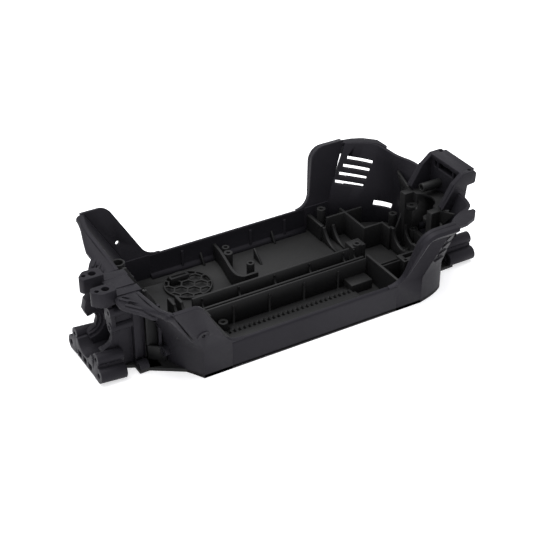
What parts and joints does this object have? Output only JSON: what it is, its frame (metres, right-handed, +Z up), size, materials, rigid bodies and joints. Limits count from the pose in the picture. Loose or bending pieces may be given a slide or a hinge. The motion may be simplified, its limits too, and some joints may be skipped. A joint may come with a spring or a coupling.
{
  "type": "radio-controlled car tub chassis",
  "caption": "Moulded tub chassis for a small four-wheel-drive radio-controlled car, with flared wheel guards, driveshaft tunnel, battery bay, grille and suspension pin bosses at both ends.",
  "frame": {"origin": "on the underside of the floor pan, below the driveline, midway along the straight side walls", "axes": "+X to the rear along the driveline, +Y to the right (electronics) side, +Z up"},
  "size_m": [0.2404, 0.123, 0.0585],
  "materials": {
    "outer_shell": "fine-grained moulded nylon, satin",
    "floor": "flat moulded nylon, satin",
    "inner_rib": "moulded nylon with smooth rib tops"
  },
  "bodies": {
    "root": {"floor_pan": "floor", "left_side_wall": "outer_shell", "right_side_wall": "outer_shell", "left_front_guard": "outer_shell", "right_front_guard": "outer_shell", "left_front_wheel_well": "outer_shell", "right_front_wheel_well": "outer_shell", "left_front_fender": "outer_shell", "right_front_fender": "outer_shell", "left_rear_guard": "outer_shell", "right_rear_guard": "outer_shell", "left_rear_flange": "outer_shell", "right_rear_flange": "outer_shell", "left_rear_wheel_well": "outer_shell", "right_rear_wheel_well": "outer_shell", "cooling_grille": "floor", "wire_clip": "inner_rib", "left_tunnel_rail": "inner_rib", "right_tunnel_rail": "inner_rib", "shaft_saddles": "inner_rib", "tunnel_front_walls": "inner_rib", "battery_front_wall": "inner_rib", "battery_rear_wall": "inner_rib", "battery_ledge": "inner_rib", "battery_stop_rack": "inner_rib", "electronics_divider": "inner_rib", "floor_gussets": "inner_rib", "screw_posts": "inner_rib", "body_post_sockets": "inner_rib", "front_gear_case": "outer_shell", "front_tower_ears": "outer_shell", "front_diff_cradle": "outer_shell", "front_arm_mount": "outer_shell", "front_pin_supports": "outer_shell", "front_gussets": "inner_rib", "motor_bay_walls": "inner_rib", "motor_cradle": "inner_rib", "spur_cradle": "inner_rib", "rear_screw_box": "inner_rib", "rear_gear_case": "inner_rib", "rear_arm_mount": "outer_shell", "rear_tower": "outer_shell", "rear_post_tube": "inner_rib", "rear_pin_supports": "outer_shell", "rear_gussets": "inner_rib"}
  },
  "joints": []
}
